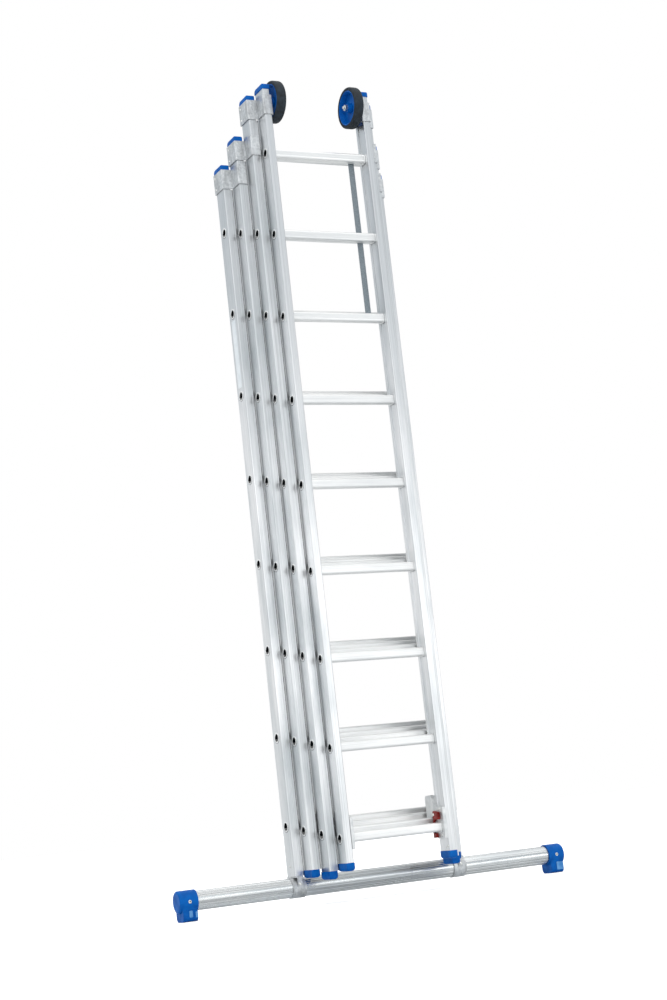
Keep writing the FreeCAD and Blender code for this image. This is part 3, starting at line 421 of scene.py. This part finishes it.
# a small rivet through each upper rail, just over its foot
footRivet = {"radius": 0.0034, "tall": 0.0013, "sunk": 0.0003, "brow": 0.86, "crown": 0.4,
             "steps": 20, "up": 0.010, "forward": 0.012}
tall, radius = footRivet["tall"], footRivet["radius"]
head = lathe([(-footRivet["sunk"], nearAxis), (-footRivet["sunk"], radius),
              (tall * 0.5, radius * footRivet["brow"]), (tall, radius * footRivet["crown"]),
              (tall, nearAxis)], footRivet["steps"])
for section in sections[1:]:
    low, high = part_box(section + "_rail_right")
    depth, height = (low.y + high.y) / 2 - footRivet["forward"], low.z + footRivet["up"]
    bm = bmesh.new()
    for side, sign in sides:
        turn = Matrix.Scale(-sign, 4, (1, 0, 0))
        stamp(bm, head, Matrix.Translation((sign * low.x, depth, height)) @ turn)
    finishPiece(section + "_foot_rivets", bm, "zinc", section + "_section")
print("rail ends finished")

# grip teeth along the front edge of each rung latch
teeth = {"count": 4, "long": 0.0085, "thick": 0.0024, "wide": 0.0094, "edge": 0.0006,
         "pitch": 0.0046, "tilt": -32, "fromFront": 0.0012, "fromTop": 0.0095}
tooth = block(teeth["wide"], teeth["long"], teeth["thick"])
rounded(tooth, tooth.edges[:], teeth["edge"], 2)
tilt = Matrix.Rotation(math.radians(teeth["tilt"]), 4, "X")
for section in sections[1:]:
    for side, sign in sides:
        name = section + "_latch_" + side
        low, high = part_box(name)
        middle, depth = (low.x + high.x) / 2, low.y + teeth["fromFront"]
        bm = bmesh.new()
        for n in range(teeth["count"]):
            height = high.z - teeth["fromTop"] - n * teeth["pitch"]
            stamp(bm, tooth, Matrix.Translation((middle, depth, height)) @ tilt)
        finishPiece(name + "_teeth", bm, "red", bodyOf[name])
print("latch teeth cut")

# wheels: a tyre with rounded shoulders and a flat tread, and a bead round each side of the hub's
# rim; seat, lipStart, lipDip and lipEnd are how far the tyre's side stands out from that rim
wheel = {"shoulder": 0.0055, "shoulderStep": 15, "tread": 0.0004, "treadIn": 0.0012, "seat": 0.0003,
         "lipStart": 0.0022, "lipDip": 0.003, "lipEnd": 0.004, "lipDeep": 0.0009, "steps": 112,
         "bead": 0.0013, "beadIn": 0.0024, "beadSteps": 96}
shoulder = wheel["shoulder"]
quarter = [math.radians(angle) for angle in range(0, 91, wheel["shoulderStep"])]
for side, sign in sides:
    low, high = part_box("tyre_" + side)
    hubLow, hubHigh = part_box("hub_" + side)
    centre = Matrix.Translation((low + high) / 2)
    outer, half, rim = (high.z - low.z) / 2, (high.x - low.x) / 2, (hubHigh.z - hubLow.z) / 2
    bend, treadHalf = outer - wheel["tread"] - shoulder, half - shoulder - wheel["treadIn"]
    outline = [(-half, rim + wheel["seat"]), (half, rim + wheel["seat"]),
               (half, rim + wheel["lipStart"]), (half - wheel["lipDeep"], rim + wheel["lipDip"]),
               (half, rim + wheel["lipEnd"])]
    outline += [(half - shoulder + shoulder * math.cos(a), bend + shoulder * math.sin(a))
                for a in quarter]
    outline += [(treadHalf, outer), (-treadHalf, outer)]
    outline += [(-half + shoulder - shoulder * math.sin(a), bend + shoulder * math.cos(a))
                for a in quarter]
    outline += [(-half, rim + wheel["lipEnd"]), (-half + wheel["lipDeep"], rim + wheel["lipDip"]),
                (-half, rim + wheel["lipStart"])]
    bm = bmesh.new()
    stamp(bm, lathe(outline, wheel["steps"]), centre)
    tyre = finishPiece("tyre_moulded_" + side, bm, "rubber", "wheel_" + side)
    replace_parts(tyre, "tyre_" + side)
    ring = lathe(bead(rim - wheel["beadIn"], wheel["bead"]), wheel["beadSteps"])
    bm = bmesh.new()
    for face in (-1, 1):
        stamp(bm, ring, centre @ Matrix.Translation((face * (hubHigh.x - hubLow.x) / 2, 0, 0)))
    finishPiece("hub_rim_beads_" + side, bm, "blue", "wheel_" + side)
print("wheels moulded")

# stabiliser ends: hollow eyelets with a near-black disc of painted shade in each hole, a bead round
# each sleeve's mouth, and paler blue pads
eyelet = {"outer": 0.0054, "hole": 0.0023, "tall": 0.0017, "sunk": 0.0002, "steps": 32,
          "side": 0.0003, "brow": 0.0012, "lip": 0.0008, "lipDeep": 0.0005,
          "pupilSunk": 0.0004, "pupilSteps": 24, "rivetIn": 0.0045, "fromFront": 0.0022}
endFoot = {"sleeveLong": 0.060, "sleeveRadius": 0.0345, "blockFront": -0.030,
           "bead": 0.0009, "beadIn": 0.0007, "beadBack": 0.0005, "beadSteps": 72,
           "padThick": 0.0012, "padCorner": 0.0022, "padSunk": 0.0002}
pads = ((-0.6565, 0.023, 0.011, 0.020), (-0.6385, 0.020, 0.006, 0.018),  # across, up, wide, tall
        (0.6685, 0.0225, 0.026, 0.026))
rivetLow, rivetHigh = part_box("end_foot_rivets")
footLow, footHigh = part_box("end_foot_right")
tall, hole, outer = eyelet["tall"], eyelet["hole"], eyelet["outer"]
ring = lathe([(-eyelet["sunk"], outer), (tall * 0.6, outer - eyelet["side"]),
              (tall, outer - eyelet["brow"]), (tall, hole + eyelet["lip"]),
              (tall - eyelet["lipDeep"], hole), (-eyelet["sunk"], hole)], eyelet["steps"])
# painted shade: a near-black disc down each eyelet's hole
pupil = lathe([(tall * 0.3, nearAxis), (tall * 0.3, hole), (-eyelet["pupilSunk"], hole),
               (-eyelet["pupilSunk"], nearAxis)], eyelet["pupilSteps"])
mouthRadius = endFoot["sleeveRadius"] - endFoot["beadIn"]
mouthBead = lathe(bead(mouthRadius, endFoot["bead"]), endFoot["beadSteps"])
eyelets, pupils, beads, patches = bmesh.new(), bmesh.new(), bmesh.new(), bmesh.new()
faceFront = Matrix.Rotation(math.radians(-90), 4, "Z")
for side, sign in sides:
    spot = (sign * (rivetHigh.x - eyelet["rivetIn"]), rivetLow.y + eyelet["fromFront"],
            (rivetLow.z + rivetHigh.z) / 2)
    stamp(eyelets, ring, Matrix.Translation(spot) @ faceFront)
    stamp(pupils, pupil, Matrix.Translation(spot) @ faceFront)
    mouthAt = sign * (footHigh.x - endFoot["sleeveLong"] + endFoot["beadBack"])
    tubeHeight = footHigh.z - endFoot["sleeveRadius"]
    stamp(beads, mouthBead, Matrix.Translation((mouthAt, 0, tubeHeight)))
for across, up, wide, long in pads:  # both feet are the same moulding, so these are not mirrored
    pad = block(wide, endFoot["padThick"], long)
    rounded(pad, alongAxis(pad, 1), endFoot["padCorner"], 3)
    front = endFoot["blockFront"] - endFoot["padSunk"]
    stamp(patches, pad, Matrix.Translation((across, front, up)))
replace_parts(finishPiece("end_foot_eyelets", eyelets, "zinc", "base_section"), "end_foot_rivets")
finishPiece("end_foot_eyelet_painted_shade", pupils, "paintedShade", "base_section")
finishPiece("end_foot_beads", beads, "blue", "base_section")
finishPiece("end_foot_pads", patches, "paleBlue", "base_section")

# a blank film strip on the outer face of the rear left rail
film = {"wide": 0.030, "low": 1.677, "high": 1.906, "thick": 0.0003, "corner": 0.003}
low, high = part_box("base_rail_left")
strip = block(film["thick"], film["wide"], film["high"] - film["low"])
rounded(strip, alongAxis(strip, 0), film["corner"], 4)
bm = bmesh.new()
across, height = low.x - film["thick"] / 2, (film["low"] + film["high"]) / 2
stamp(bm, strip, Matrix.Translation((across, 0, height)))
finishPiece("rail_film", bm, "film", "base_section")
print("small fittings added")

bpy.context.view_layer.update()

view = {"place": (-2.6557, -5.3209, 0.2654), "right": (0.89815, -0.42587, -0.10940),
        "up": (0.02387, -0.20122, 0.97925), "ahead": (0.43905, 0.88213, 0.17056),
        "lens": 65.41, "sensor": 36, "far": 200}
camera = bpy.data.objects.new("camera", bpy.data.cameras.new("camera"))
bpy.context.scene.collection.objects.link(camera)
axes = Matrix((view["right"], view["up"], [-c for c in view["ahead"]])).transposed()
camera.matrix_world = Matrix.Translation(view["place"]) @ axes.to_4x4()
camera.data.lens, camera.data.sensor_width = view["lens"], view["sensor"]
camera.data.clip_end = view["far"]
bpy.context.scene.camera = camera

lights = (  # name, place, aims at, width, height, watts
    ("overhead", (-1.0, -3.0, 6.5), (0, 0, 1.0), 5.0, 4.0, 90),
    ("low right", (2.9, -6.0, 1.35), (0, 0, 0.8), 3.6, 1.8, 24),
    ("beside the camera", (-3.3, -6.6, 1.75), (0, 0, 1.0), 3.6, 3.4, 60),
)
for name, place, target, width, height, watts in lights:
    lamp = bpy.data.lights.new(name, "AREA")
    lamp.shape, lamp.size, lamp.size_y, lamp.energy = "RECTANGLE", width, height, watts
    light = bpy.data.objects.new(name, lamp)
    bpy.context.scene.collection.objects.link(light)
    light.location = place
    aim = Vector(target) - Vector(place)
    light.rotation_euler = aim.to_track_quat("-Z", "Y").to_euler()

# the studio walls: brightest just over the horizon, so the rails' middles glow and their ends
# fall off; the background itself is plain white
studio = {"walls": 1.25, "backdrop": 1.0, "wallStops": (  # height from straight down to straight up
    (0.0, "#868B90"), (0.48, "#B2BAC0"), (0.53, "#EFF0F0"), (0.57, "#FFFFFF"), (0.61, "#E8EAEC"),
    (0.67, "#AEB7BE"), (0.73, "#BEC5CA"), (0.8, "#FFFFFF"), (1.0, "#FFFFFF"))}
world = bpy.data.worlds.new("studio")
bpy.context.scene.world = world
world.use_nodes = True
sky = world.node_tree
sky.nodes.clear()
direction = addNode(sky, "TexCoord").outputs["Generated"]
upward = addNode(sky, "SeparateXYZ", {0: direction}).outputs[2]
level = addNode(sky, "MapRange", {0: upward, 1: -1.0, 2: 1.0}).outputs[0]
glow = addNode(sky, "ValToRGB", {0: level}, stops=studio["wallStops"]).outputs[0]
walls = addNode(sky, "Background", {0: glow, 1: studio["walls"]}).outputs[0]
backdrop = addNode(sky, "Background", {0: (1, 1, 1, 1), 1: studio["backdrop"]}).outputs[0]
seen = addNode(sky, "LightPath").outputs["Is Camera Ray"]
mixed = addNode(sky, "MixShader", {0: seen, 1: walls, 2: backdrop}).outputs[0]
addNode(sky, "OutputWorld", {0: mixed})

# a plain pale floor that looks nearly white, while the metal mirrors a slightly darker one
ground = {"colour": "#F4F4F3", "mirrored": "#E2E4E5", "glow": 0.45, "radius": 60, "drop": 0.0005}
paleFloor, tree, shader = startMaterial("pale matt floor", {
    "Base Color": linear(ground["colour"]), "Roughness": 0.9, "Specular IOR Level": 0.1,
    "Emission Color": (1, 1, 1, 1), "Emission Strength": ground["glow"]})[:3]
dim = addNode(tree, "BsdfDiffuse", {0: linear(ground["mirrored"])}).outputs[0]
seen = addNode(tree, "LightPath").outputs["Is Camera Ray"]
mixed = addNode(tree, "MixShader", {0: seen, 1: dim, 2: shader.outputs[0]}).outputs[0]
tree.links.new(mixed, tree.nodes["Material Output"].inputs[0])
bm = bmesh.new()
bmesh.ops.create_circle(bm, cap_ends=True, segments=96, radius=ground["radius"],
                        matrix=Matrix.Translation((0, 0, -ground["drop"])))
floorMesh = bpy.data.meshes.new("floor")
bm.to_mesh(floorMesh)
bm.free()
floorMesh.materials.append(paleFloor)
floor = bpy.data.objects.new("floor", floorMesh)
bpy.context.scene.collection.objects.link(floor)
bpy.context.scene.view_settings.view_transform = "Standard"
print("studio ready")
